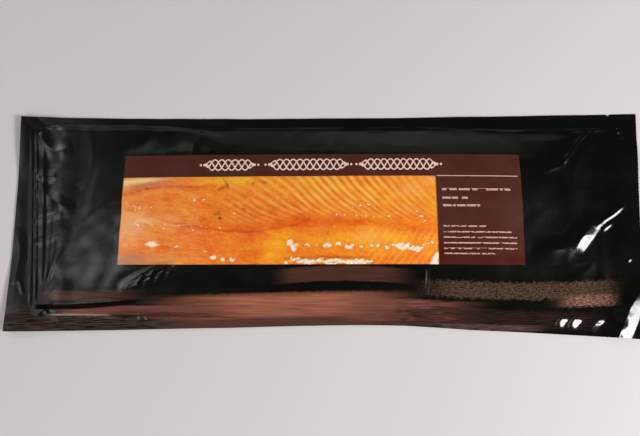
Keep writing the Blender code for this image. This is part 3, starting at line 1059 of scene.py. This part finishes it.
def fat_tree(values):
    """Geometry nodes: an uneven lump on each point, as long, wide and turned as the point says."""
    tree = bpy.data.node_groups.new("lumps_on_points", "GeometryNodeTree")
    for way in ("INPUT", "OUTPUT"):
        tree.interface.new_socket("Geometry", in_out=way, socket_type="NodeSocketGeometry")
    sockets = {}
    for name, value in values.items():
        kind = "NodeSocketFloat" if isinstance(value, float) else "NodeSocketMaterial"
        sockets[name] = tree.interface.new_socket(name, in_out="INPUT", socket_type=kind)
    add = partial(node, tree)
    given = add("NodeGroupInput").outputs
    ball = add("GeometryNodeMeshIcoSphere", {"Radius": 0.5, "Subdivisions": 3})
    length, width, turn = (
        add("GeometryNodeInputNamedAttribute", {"Name": name}, data_type="FLOAT")
        for name in ("length", "width", "turn")
    )
    size = add("CombineXYZ", length, width, given["Thickness"])
    facing = add("CombineXYZ", {"Z": turn})
    spots = {"Points": given["Geometry"], "Instance": ball, "Rotation": facing, "Scale": size}
    lumps = add("GeometryNodeInstanceOnPoints", spots)
    real = add("GeometryNodeRealizeInstances", {"Geometry": lumps})
    place = add("GeometryNodeInputPosition")
    per_bump = add("Math DIVIDE", 1.0, given["Bump size"])
    rough = add("TexNoise", {"Vector": place, "Scale": per_bump, "Detail": 1.0})
    centred = add("VectorMath SUBTRACT", rough.outputs["Color"], (0.5, 0.5, 0.5))
    sideways = add("VectorMath MULTIPLY", centred, (1.0, 1.0, 0.0))
    push = add("VectorMath SCALE", {0: sideways, "Scale": given["Unevenness"]})
    pushed = add("GeometryNodeSetPosition", {"Geometry": real, "Offset": push})
    smooth = add("GeometryNodeSetShadeSmooth", {"Geometry": pushed})
    painted = add("GeometryNodeSetMaterial", {"Geometry": smooth, "Material": given["Material"]})
    add("NodeGroupOutput", painted)
    return tree, sockets


def make_fat_and_glints(material):
    """Every lump in the window, fat and a few painted glints, made by geometry nodes and then a plain
    mesh.
    """
    places = fat_and_glint_places()
    x, y, length, width = places[:, :4].T * MM
    seeds = new_object("fat_and_glint_places", as_points(x, y, 0.0 * x), [])
    for name, lengths in (("length", length), ("width", width), ("turn", places[:, 4])):
        add_field(seeds, name, lengths)
    values = {"Thickness": FAT_THICKNESS, "Unevenness": FAT_UNEVENNESS, "Bump size": FAT_BUMP_SIZE}
    values["Material"] = material
    tree, sockets = fat_tree(values)
    modifier = seeds.modifiers.new("fat", "NODES")
    modifier.node_group = tree
    for name, value in values.items():
        modifier[sockets[name].identifier] = value
    shown = seeds.evaluated_get(bpy.context.evaluated_depsgraph_get())
    mesh = bpy.data.meshes.new_from_object(shown)
    bpy.data.objects.remove(seeds)
    points = np.empty(3 * len(mesh.vertices), np.float32)
    mesh.vertices.foreach_get("co", points)
    points = points.reshape(-1, 3)
    thick = np.clip(points[:, 2] * 2.0 / FAT_THICKNESS, 0.0, 1.0)
    points[:, 2] += flesh_height(points[:, 0], points[:, 1]) + FAT_PROUD - FAT_THICKNESS / 2
    mesh.vertices.foreach_set("co", points.reshape(-1))
    piece = bpy.data.objects.new("salmon_fat_and_glints", mesh)
    add_field(piece, "thick", thick)
    bpy.context.scene.collection.objects.link(piece)
    return piece


# ---- materials


def new_material(name):
    """An empty material, and the function that adds nodes to it."""
    material = bpy.data.materials.new(name)
    material.use_nodes = True
    material.node_tree.nodes.clear()
    return material, partial(node, material.node_tree)


def paint(add, surface, layers):
    """Lays colours over a surface. Each layer is a mask, its strength and its colour."""
    for mask, strength, colour in layers:
        share = add("Math MULTIPLY", mask, strength)
        surface = add("Mix", {0: share, 6: surface, 7: colour}, data_type="RGBA")
    return surface


def places_in_mm(add):
    """The place on the pack in mm."""
    at = add("TexCoord").outputs["Object"]
    return add("VectorMath SCALE", {0: at, "Scale": 1.0 / MM})


def print_places(add):
    """x and y over the printed design in mm, which the vacuum drew a little aside, and both."""
    x = add("Attribute", attribute_name="print_x").outputs["Fac"]
    y = add("Attribute", attribute_name="print_y").outputs["Fac"]
    return x, y, add("CombineXYZ", x, y)


def block(add, x, y, x_range, y_range):
    """Mask of an upright rectangle in mm."""
    masks = []
    for value, (low, high) in ((x, x_range), (y, y_range)):
        masks.append(add("Math COMPARE", value, (low + high) / 2, (high - low) / 2))
    return add("Math MULTIPLY", masks[0], masks[1])


PLAIT_GROUPS_MM = ((-119, -68), (-56, 22), (32, 110))
PLAIT_STRANDS = 3
PLAIT_Y_MM = 55.3
PLAIT_ROOM_MM = 8.0
PLAIT_PITCH_MM = 19.5
PLAIT_SWING_MM = 5.2
PLAIT_STRAND_MM = 1.25
PLAIT_POINT_MM = 9.0
PLAIT_BEAD_MM = 1.1
PLAIT_BEAD_GAP_MM = 2.5


def plait(add, x, y, group):
    """Mask of an ornament in the title band: plaited strands between two beads."""
    low, high = group
    turn = 2.0 * math.pi / PLAIT_PITCH_MM
    height = add("Math SUBTRACT", y, PLAIT_Y_MM)
    closing = []
    for start, full in ((low, low + PLAIT_POINT_MM), (high, high - PLAIT_POINT_MM)):
        closing.append(add("MapRange", x, start, full, interpolation_type="SMOOTHSTEP"))
    width = add("Math MULTIPLY", closing[0], closing[1])
    swing = add("Math MULTIPLY", width, PLAIT_SWING_MM)
    shown = block(add, x, y, group, (PLAIT_Y_MM - PLAIT_ROOM_MM, PLAIT_Y_MM + PLAIT_ROOM_MM))
    total = None
    for strand in range(PLAIT_STRANDS):
        phase = strand * 2.0 * math.pi / PLAIT_STRANDS - low * turn
        angle = add("Math MULTIPLY_ADD", x, turn, phase)
        wave = add("Math SINE", angle)
        centre = add("Math MULTIPLY", wave, swing)
        lean = add("Math COSINE", angle)
        slope = add("Math MULTIPLY", lean, PLAIT_SWING_MM * turn)
        steep = add("Math MULTIPLY_ADD", slope, slope, 1.0)
        stretch = add("Math SQRT", steep)
        reach = add("Math MULTIPLY", stretch, PLAIT_STRAND_MM / 2)
        close = add("Math COMPARE", height, centre, reach)
        inked = add("Math MULTIPLY", close, shown)
        if total is not None:
            inked = add("Math MAXIMUM", total, inked)
        total = inked
    for bead_x in (low - PLAIT_BEAD_GAP_MM, high + PLAIT_BEAD_GAP_MM):
        off = add("Math SUBTRACT", x, bead_x)
        both = add("CombineXYZ", off, height)
        away = add("VectorMath LENGTH", both)
        bead = add("Math LESS_THAN", away, PLAIT_BEAD_MM)
        total = add("Math MAXIMUM", total, bead)
    return total


# Rows of short dashes that stand where a pack carries its small print: height, end, thickness.
DASH_START_MM = 112
DASH_ROWS_MM = (
    (30.5, 179, 2.1), (22.1, 143, 2.1), (14.8, 148, 2.1), (-5.1, 154, 1.3), (-10.5, 178, 1.3),
    (-15.7, 184, 1.3), (-21.0, 183, 1.3), (-26.3, 183, 1.3), (-31.1, 162, 1.3),
)
DASH_ROW_STEP_MM = 2.6
DASHES_PER_MM = 0.30
DASH_GAP_SHARE = 0.40


def dashes(add, x, y, place):
    """Mask of the small print's rows, broken into dashes of uneven length."""
    rows = None
    for height, end, thick in DASH_ROWS_MM:
        row = block(add, x, y, (DASH_START_MM, end), (height - thick / 2, height + thick / 2))
        if rows is not None:
            row = add("Math MAXIMUM", rows, row)
        rows = row
    along_row = add("VectorMath MULTIPLY", place, (DASHES_PER_MM, 0.0, 0.0))
    step = add("Math SNAP", y, DASH_ROW_STEP_MM)
    step = add("CombineXYZ", {"Y": step})
    at = add("VectorMath ADD", along_row, step)
    words = add("TexNoise", {"Vector": at, "Scale": 1.0, "Detail": 0.0})
    inked = add("Math GREATER_THAN", words, DASH_GAP_SHARE)
    return add("Math MULTIPLY", rows, inked)


# Flowing ribbons of colour along the pack's near side: colour, how streaky, size of the streaks,
# how ragged, middle height, swing, wave length, phase, half width and soft edge in mm, where
# they begin and end, and how long those ends are.
RIBBONS_MM = (
    ("#46362e", 1.25, (18, 1.1), 3, -99, 1.5, 560, 0.6, 13, 2.5, (-300, 60), (30, 60)),
    ("#2c211c", 1.10, (16, 1.6), 3, -84, 1, 560, 0.6, 9, 3, (-308, -286), (1, 16)),
    ("#583830", 0.30, (60, 3), 2, -97, 1.5, 560, 0.8, 9.5, 3, (-120, 60), (60, 60)),
    ("#a4634d", 0.45, (46, 2.4), 2, -79.5, 2.5, 560, 0.8, 13.5, 5, (-70, 0), (120, 100)),
    ("#74433a", 0.45, (50, 1.6), 1.5, -83, 0.8, 300, 2.4, 5, 1.5, (-236, -130), (32, 60)),
    ("#40231c", 0.90, (22, 1), 2, -87.5, 1, 300, 0.5, 3.2, 1.5, (-190, -110), (30, 50)),
    # painted highlight: a thin light streak along the fold below the tuck at the near tail corner
    ("#988270", 0.60, (14, 1), 1, -88.8, 0.5, 300, 1, 1.4, 0.9, (-258, -216), (12, 14)),
    # partly print and partly painted light: a pink band painted lighter where the film rolls down
    # over the card's near edge
    ("#4e322a", 0.70, (30, 1.8), 2, -68, 2.5, 420, 2.4, 6.5, 3, (-262, -212), (14, 45)),
    # painted shade: a near-black band on the dark inner side of the fold where the film tucks under
    # the card's near edge
    ("#0c0806", 0.10, (30, 3), 0.6, -74.2, 7.5, 400, 2.59, 2.9, 1.2, (-258, -196), (14, 60)),
    ("#4c2e24", 0.25, (40, 3), 2, -53, 4.5, 300, 1.2, 8, 2, (-24, 50), (32, 40)),
    ("#7a4a40", 0.90, (26, 1.3), 3, -84, 2.5, 300, 1.2, 13, 4, (40, 96), (40, 70)),
    ("#332620", 0.70, (8, 3), 9, -60, 2, 260, 0.2, 9.5, 3, (130, 254), (50, 36)),
    ("#5e4839", 1.50, (3, 1.2), 9, -60, 2, 260, 0.2, 9.5, 4, (130, 254), (50, 36)),
    ("#4c322b", 0.60, (7, 3), 6, -72.5, 2, 260, 0.2, 7, 4, (240, 264), (30, 22)),
    ("#98695b", 1.50, (3.2, 1.2), 6, -72.5, 2, 260, 0.2, 7, 4, (242, 264), (24, 22)),
    ("#30201b", 0.90, (16, 1.2), 5, -91, 2.5, 400, 0.2, 11, 6, (90, 240), (60, 40)),
    ("#5e4748", 0.90, (14, 1.2), 3, -99.5, 1, 300, 0.2, 4, 2, (118, 186), (30, 30)),
)

# Where the card's near edge rubs the film dull, as a ribbon of the same kind.
RUBBED_MM = (1, -73.5, 7.5, 400, 2.59, 3.2, 1.4, (-276, -186), (6, 30))

# Where the seals cross at the near tail corner, a little duller than the rest.
DULLED_MM = (2, -98.5, 1, 560, 0.6, 13.5, 4, (-320, -215), (1, 50))


# Fine unevenness of the print and the film, with a cell to about 4.5 mm.
WAVER_PER_MM = 0.22


def ribbon(add, x, y, place, shape):
    """Mask of one ribbon, whose edges waver by a few mm."""
    ragged, middle, swing, wave_length, phase, half_width, soft, ends, fades = shape
    turn = 2.0 * math.pi / wave_length
    frayed = add("TexNoise", {"Vector": place, "Scale": WAVER_PER_MM, "Detail": 3.0})
    wavered = add("Math MULTIPLY_ADD", frayed, ragged, y)
    angle = add("Math MULTIPLY_ADD", x, turn, phase)
    wave = add("Math SINE", angle)
    centre = add("Math MULTIPLY_ADD", wave, swing, middle)
    off = add("Math SUBTRACT", wavered, centre)
    away = add("Math ABSOLUTE", off)
    total = None
    for limits in (
        (away, half_width, half_width - soft),
        (x, ends[0] - fades[0], ends[0]),
        (x, ends[1] + fades[1], ends[1]),
    ):
        part = add("MapRange", *limits, interpolation_type="SMOOTHSTEP")
        if total is not None:
            part = add("Math MULTIPLY", total, part)
        total = part
    return total


def streaks(add, place, share, long_mm, wide_mm, low, high):
    """Uneven streaks along the pack that thin a printed colour out."""
    at = add("VectorMath MULTIPLY", place, (1.0 / long_mm, 1.0 / wide_mm, 0.0))
    pattern = add("TexNoise", {"Vector": at, "Scale": 1.0, "Detail": 3.0, "Roughness": 0.6})
    return add("MapRange", pattern, low, high, 1.0 - share)


TITLE_RULE_MM = ((108, 187), (43.4, 44.3))
# The label's upper part is painted greyer, a painted reflection of the film's sheen: where it comes
# in across y in mm, and how far at most.
LABEL_SHEEN_Y_MM = (-40.0, 5.0)
LABEL_SHEEN_SHARE = 0.65
LABEL_CLOUDS = 0.45
HANDLED_X_MM = (-180.0, -250.0)
FILM_ROUGHNESS = (0.13, 0.24)
CLOUDY_ROUGHNESS = 0.06
RUBBED_ROUGHNESS = 0.35
RUBBED_SPECULAR = -0.48
DULLED_SPECULAR = -0.36
FULL_SPECULAR = 0.5


def printed_film_material():
    """Polyamide and polythene laminate, printed inside and blown to a high gloss.

    The eye gets nearly black film with a sharp shine, a russet label that looks a little deeper
    than the gloss over it, with a painted reflection of the sheen on its upper part, and soft
    brown ribbons. Among them are painted shade, a painted highlight and a band painted lighter
    where the film rolls over the card at the near tail corner.
    """
    material, add = new_material("printed_laminate_film")
    x, y, place = print_places(add)
    printed = add("Attribute", attribute_name="printed").outputs["Fac"]
    uneven = streaks(add, place, 1.0, 60, 25, 0.35, 0.65)
    black = add("Mix", {0: uneven, 6: srgb("#060603"), 7: srgb("#0a0a07")}, data_type="RGBA")
    layers = []
    # three ribbons at the near tail corner are painted light: painted shade, a painted highlight and
    # a band painted lighter
    for colour, share, sizes, *shape in RIBBONS_MM:
        mask = ribbon(add, x, y, place, shape)
        thin = streaks(add, place, share, *sizes, 0.34, 0.60)
        mask = add("Math MULTIPLY", mask, thin)
        layers.append((mask, printed, srgb(colour)))
    cloud = streaks(add, place, 1.0, 34, 22, 0.38, 0.62)
    # painted reflection: the label greyer towards its top, over the print's uneven clouds
    painted_sheen = add("MapRange", y, *LABEL_SHEEN_Y_MM, 0.0, LABEL_SHEEN_SHARE)
    sheen_and_clouds = add("Math MULTIPLY_ADD", cloud, LABEL_CLOUDS, painted_sheen)
    russet = add("Mix", {0: sheen_and_clouds, 6: srgb("#4c130a"), 7: srgb("#4c2a21")}, data_type="RGBA")
    layers.append((block(add, x, y, LABEL_X_MM, LABEL_Y_MM), printed, russet))
    for group in PLAIT_GROUPS_MM:
        layers.append((plait(add, x, y, group), printed, srgb("#ecc9be")))
    layers.append((block(add, x, y, *TITLE_RULE_MM), printed, srgb("#c9a198")))
    layers.append((dashes(add, x, y, place), printed, srgb("#c39c93")))
    surface = paint(add, black, layers)

    fine = add("TexNoise", {"Vector": place, "Scale": WAVER_PER_MM, "Detail": 4.0})
    bump = add("Bump", {"Height": fine, "Strength": 0.12, "Distance": 0.4 * MM})
    handled = add("MapRange", x, *HANDLED_X_MM, *FILM_ROUGHNESS, interpolation_type="SMOOTHSTEP")
    cloudy = streaks(add, place, 1.0, 30, 30, 0.3, 0.7)
    gloss = add("Math MULTIPLY_ADD", cloudy, CLOUDY_ROUGHNESS, handled)
    rubbed = ribbon(add, x, y, place, RUBBED_MM)
    gloss = add("Math MULTIPLY_ADD", rubbed, RUBBED_ROUGHNESS, gloss)
    dulled = ribbon(add, x, y, place, DULLED_MM)
    dulled = add("Math MULTIPLY_ADD", dulled, DULLED_SPECULAR, FULL_SPECULAR)
    shine = add("Math MULTIPLY_ADD", rubbed, RUBBED_SPECULAR, dulled, use_clamp=True)
    look = {"Base Color": surface, "Roughness": gloss, "Normal": bump, "IOR": 1.5}
    look["Specular IOR Level"] = shine
    add("OutputMaterial", add("BsdfPrincipled", look))
    return material


DULL_CLOUDS_PER_MM = 0.4


def sealing_layer_material():
    """Black polythene, the laminate's inner face. The eye gets a dull dark rim round the window."""
    material, add = new_material("black_sealing_layer")
    at = add("TexCoord").outputs["Object"]
    cloudy = add("TexNoise", {"Vector": at, "Scale": DULL_CLOUDS_PER_MM / MM, "Detail": 2.0})
    dull = add("MapRange", cloudy, 0.3, 0.7, 0.75, 0.95)
    look = {"Base Color": srgb("#120d0b"), "Roughness": dull, "Specular IOR Level": 0.15}
    add("OutputMaterial", add("BsdfPrincipled", look))
    return material


CLEAR_RIM_POWER = 5.0
CLEAR_RIM_SHINE = 0.9
CLEAR_SHINE = 0.022


def clear_film_material():
    """The same laminate without ink: clear, with a slightly blurred shine of its own."""
    material, add = new_material("clear_laminate_film")
    clear = add("BsdfTransparent", {"Color": (0.985, 0.985, 0.98, 1.0)})
    gloss = add("BsdfGlossy", {"Roughness": 0.14, "Color": (1.0, 1.0, 1.0, 1.0)})
    rim = add("LayerWeight", {"Blend": 0.5}).outputs["Facing"]
    grazing = add("Math POWER", rim, CLEAR_RIM_POWER)
    shine = add("Math MULTIPLY_ADD", grazing, CLEAR_RIM_SHINE, CLEAR_SHINE)
    both = add("MixShader", shine, clear, gloss)
    add("OutputMaterial", both)
    return material


# The flesh's own orange, from its red to its yellow, and the fields over it, with their
# strengths and colours.
FLESH_COLOURS = ("#d94a10", "#f57c1e", "#ffb524")
FLESH_MIDDLE = 0.45
FLESH_LAYERS = (
    ("pale", 0.75, "#ffb87c"),
    ("cream", 0.90, "#ffe2a0"),
    # skin at the top left, and painted shade with a painted reflection at the near left corner
    ("skin", 0.70, "#a57c74"),
    ("seam", 0.70, "#ffcc66"),
    ("fibre", 0.07, "#ffbe5c"),
    ("stain", 1.00, "#7a1402"),
)


# Fine unevenness of the cut flesh, with a cell to about 1.4 mm.
FLESH_FIBRES_PER_MM = 0.7


def flesh_material():
    """Cold-smoked salmon: moist, slightly translucent flesh with soft fat seams."""
    material, add = new_material("smoked_salmon_flesh")
    place = places_in_mm(add)
    fields = {"fibre": streaks(add, place, 1.0, 9.0, 1.3, 0.3, 0.7)}
    for name in ("tone", "pale", "cream", "skin", "seam", "stain"):
        fields[name] = add("Attribute", attribute_name=name).outputs["Fac"]
    ramp = add("ValToRGB", {"Fac": fields["tone"]})
    stops = ramp.color_ramp.elements
    stops.new(FLESH_MIDDLE)
    for stop, colour in zip(stops, FLESH_COLOURS):
        stop.color = srgb(colour)
    layers = [(fields[name], strength, srgb(colour)) for name, strength, colour in FLESH_LAYERS]
    fine = add("TexNoise", {"Vector": place, "Scale": FLESH_FIBRES_PER_MM, "Detail": 3.0})
    bump = add("Bump", {"Height": fine, "Strength": 0.25, "Distance": 0.3 * MM})
    look = {"Base Color": paint(add, ramp, layers), "Roughness": 0.38, "Normal": bump}
    look.update({"IOR": 1.4, "Specular IOR Level": 0.25})
    add("OutputMaterial", add("BsdfPrincipled", look))
    return material


def fat_and_glint_material():
    """Smoked salmon fat: cream, waxy, stained orange where it thins out. Its white also makes the
    small lumps that are painted glints.
    """
    material, add = new_material("salmon_fat_and_glints")
    cloud = streaks(add, places_in_mm(add), 1.0, 3.0, 2.0, 0.3, 0.7)
    white = add("Mix", {0: cloud, 6: srgb("#ffe4b8"), 7: srgb("#fffaf0")}, data_type="RGBA")
    thick = add("Attribute", attribute_name="thick").outputs["Fac"]
    body = add("MapRange", thick, 0.47, 0.98, interpolation_type="SMOOTHSTEP")
    colour = add("Mix", {0: body, 6: srgb("#f4a040"), 7: white}, data_type="RGBA")
    look = {"Base Color": colour, "Roughness": 0.4, "IOR": 1.45}
    add("OutputMaterial", add("BsdfPrincipled", look))
    return material


# ---- stage and light

FLOOR_HALF = 3.0


def make_floor():
    """A plain pale floor, for the stage only."""
    corners = [(x * FLOOR_HALF, y * FLOOR_HALF, 0) for x, y in ((-1, -1), (1, -1), (1, 1), (-1, 1))]
    floor = new_object("floor", corners, [(0, 1, 2, 3)], smooth=False)
    material, add = new_material("pale_floor")
    shader = add("BsdfPrincipled", {"Base Color": srgb("#d2cdcc"), "Roughness": 0.75})
    add("OutputMaterial", shader)
    floor.data.materials.append(material)


def softbox(name, place, aim, size, radiance):
    """A rectangular light of even radiance that faces a point."""
    data = bpy.data.lights.new(name, "AREA")
    data.shape = "RECTANGLE"
    data.size, data.size_y = size
    data.energy = radiance * size[0] * size[1] * math.pi
    light = bpy.data.objects.new(name, data)
    light.location = place
    light.rotation_euler = (Vector(aim) - Vector(place)).to_track_quat("-Z", "Y").to_euler()
    bpy.context.scene.collection.objects.link(light)


def make_light():
    """A dim room: a strong key, a fill, a window and the pale walls that show in the gloss."""
    world = bpy.data.worlds.new("studio")
    world.use_nodes = True
    background = world.node_tree.nodes["Background"]
    background.inputs["Color"].default_value = (1.0, 1.0, 0.98, 1.0)
    background.inputs["Strength"].default_value = 0.042
    bpy.context.scene.world = world
    centre = (0.0, 0.0, 0.0)
    softbox("key_near_right", (1.25, -0.42, 0.95), centre, (0.55, 0.55), 28.5)
    softbox("fill_near_left", (-0.78, -1.20, 1.00), centre, (1.00, 1.00), 2.7)
    softbox("far_left_window", (-1.14, 0.89, 0.90), centre, (0.24, 0.24), 5.0)
    # the walls fade out at their edges, so each is three panels, one behind the other
    for share in (1.0, 0.75, 0.5):
        tall = 2.0 * share - 0.5
        far = (0.0, 1.9 - 0.1 * share, 0.2 + tall / 2)
        softbox("far_wall", far, centre, (3.8 * share, tall), 0.29 - 0.22 * share)
        corner = (-1.25 + 0.1 * share, 0.98 - 0.07 * share, 0.90)
        softbox("far_left_wall", corner, centre, (1.4 * share, 1.0 * share), 0.60)
        left = (-0.90, 0.10, 1.31 - 0.05 * share)
        softbox("left_wall", left, centre, (1.2 * share + 0.2, 1.7 * share), 0.03)
        haze = (-0.91, -0.16, 1.21 - 0.04 * share)
        softbox("haze_left", haze, (-0.2, 0.0, 0.0), (0.66 * share, 0.76 * share), 0.87)


# ---- the pack

grid = pouch_grid()
pouch_film = make_pouch_film(grid)
pouch_film.data.materials.append(printed_film_material())
pouch_film.data.materials.append(sealing_layer_material())
clear_film = make_clear_film(grid)
clear_film.data.materials.append(clear_film_material())
flesh = make_flesh()
flesh.data.materials.append(flesh_material())
fat = make_fat_and_glints(fat_and_glint_material())

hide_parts("pouch")
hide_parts("window_film")
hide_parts("salmon")
for piece, slot in (
    (pouch_film, "printed_film"),
    (clear_film, "clear_film"),
    (flesh, "salmon"),
    (fat, "salmon"),
):
    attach(piece, "root")

make_floor()
make_light()
bpy.context.scene.view_settings.view_transform = "Standard"
